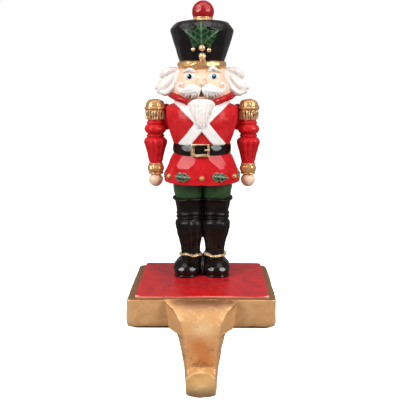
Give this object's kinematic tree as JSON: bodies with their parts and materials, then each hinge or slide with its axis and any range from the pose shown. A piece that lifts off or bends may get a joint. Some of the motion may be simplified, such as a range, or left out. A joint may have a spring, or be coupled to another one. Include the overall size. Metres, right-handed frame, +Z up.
{
  "type": "mantel stocking holder",
  "caption": "Painted nutcracker soldier on a weighted block, with a flared tongue that hangs over a mantel's edge and ends in a stocking hook.",
  "frame": {"origin": "middle of the pad's underside, where the holder rests on the mantel", "axes": "+Z up along the soldier, -Y towards the front, where the tongue hangs down and the soldier looks, +X to the viewer's right"},
  "size_m": [0.1, 0.1261, 0.2577],
  "materials": {
    "gold_paint": "satin gold paint over cast resin, with darker wash in the hollows",
    "red_paint": "gloss red paint over cast resin",
    "black_paint": "gloss black paint over cast resin, with grey worn edges",
    "green_paint": "satin dark green paint over cast resin",
    "white_paint": "satin white paint over cast resin, with grey wash in the grooves",
    "flesh_paint": "satin flesh paint over cast resin, with pink cheeks",
    "black_foam": "matt black foam"
  },
  "bodies": {
    "root": {"cast_holder": "gold_paint", "foam_pad": "black_foam"}
  },
  "joints": []
}
